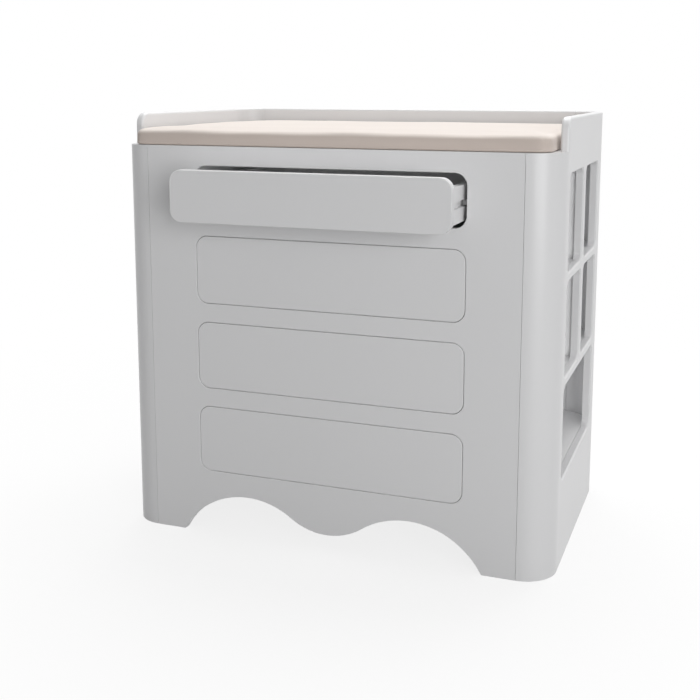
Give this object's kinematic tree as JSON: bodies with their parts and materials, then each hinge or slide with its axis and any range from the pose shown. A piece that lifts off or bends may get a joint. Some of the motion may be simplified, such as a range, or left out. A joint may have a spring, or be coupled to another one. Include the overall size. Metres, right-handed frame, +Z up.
{
  "type": "miniature chest of drawers",
  "caption": "Miniature nursery chest with sliding drawers, open side compartments, scalloped base, gallery rail and a soft pad on top.",
  "frame": {"origin": "on the floor, at the middle of the overall plan with the top drawer standing out as it rests", "axes": "+X to the right seen from the front, +Y from the front to the back, +Z up"},
  "size_m": [0.075, 0.0562, 0.0722],
  "materials": {
    "case_white": "glossy moulded white",
    "drawer_front_white": "glossy moulded white",
    "tray_white": "satin moulded white",
    "inner_white": "satin moulded white",
    "pad_cover": "soft beige cover"
  },
  "bodies": {
    "case": {"front_panel": "case_white", "back_panel": "case_white", "side_panel_left": "case_white", "side_panel_right": "case_white", "top_board": "inner_white", "bottom_board": "inner_white", "partition_left": "inner_white", "partition_right": "inner_white", "shelf_left_1": "inner_white", "shelf_left_2": "inner_white", "divider_left_2": "inner_white", "shelf_left_3": "inner_white", "divider_left_3": "inner_white", "shelf_right_1": "inner_white", "shelf_right_2": "inner_white", "divider_right_2": "inner_white", "shelf_right_3": "inner_white", "divider_right_3": "inner_white", "runner_1_left": "inner_white", "runner_1_right": "inner_white", "runner_2_left": "inner_white", "runner_2_right": "inner_white", "runner_3_left": "inner_white", "runner_3_right": "inner_white", "runner_4_left": "inner_white", "runner_4_right": "inner_white", "pad": "pad_cover"},
    "drawer_1": {"drawer_1_front": "drawer_front_white", "drawer_1_tray": "tray_white"},
    "drawer_2": {"drawer_2_front": "drawer_front_white", "drawer_2_tray": "tray_white"},
    "drawer_3": {"drawer_3_front": "drawer_front_white", "drawer_3_tray": "tray_white"},
    "drawer_4": {"drawer_4_front": "drawer_front_white", "drawer_4_tray": "tray_white"}
  },
  "joints": [
    {"name": "drawer_1_slide", "type": "slide", "parent": "case", "child": "drawer_1", "axis": [0, -1, 0], "range_m": [-0.0086, 0.0174]},
    {"name": "drawer_2_slide", "type": "slide", "parent": "case", "child": "drawer_2", "axis": [0, -1, 0], "range_m": [0, 0.026]},
    {"name": "drawer_3_slide", "type": "slide", "parent": "case", "child": "drawer_3", "axis": [0, -1, 0], "range_m": [0, 0.026]},
    {"name": "drawer_4_slide", "type": "slide", "parent": "case", "child": "drawer_4", "axis": [0, -1, 0], "range_m": [0, 0.026]}
  ]
}
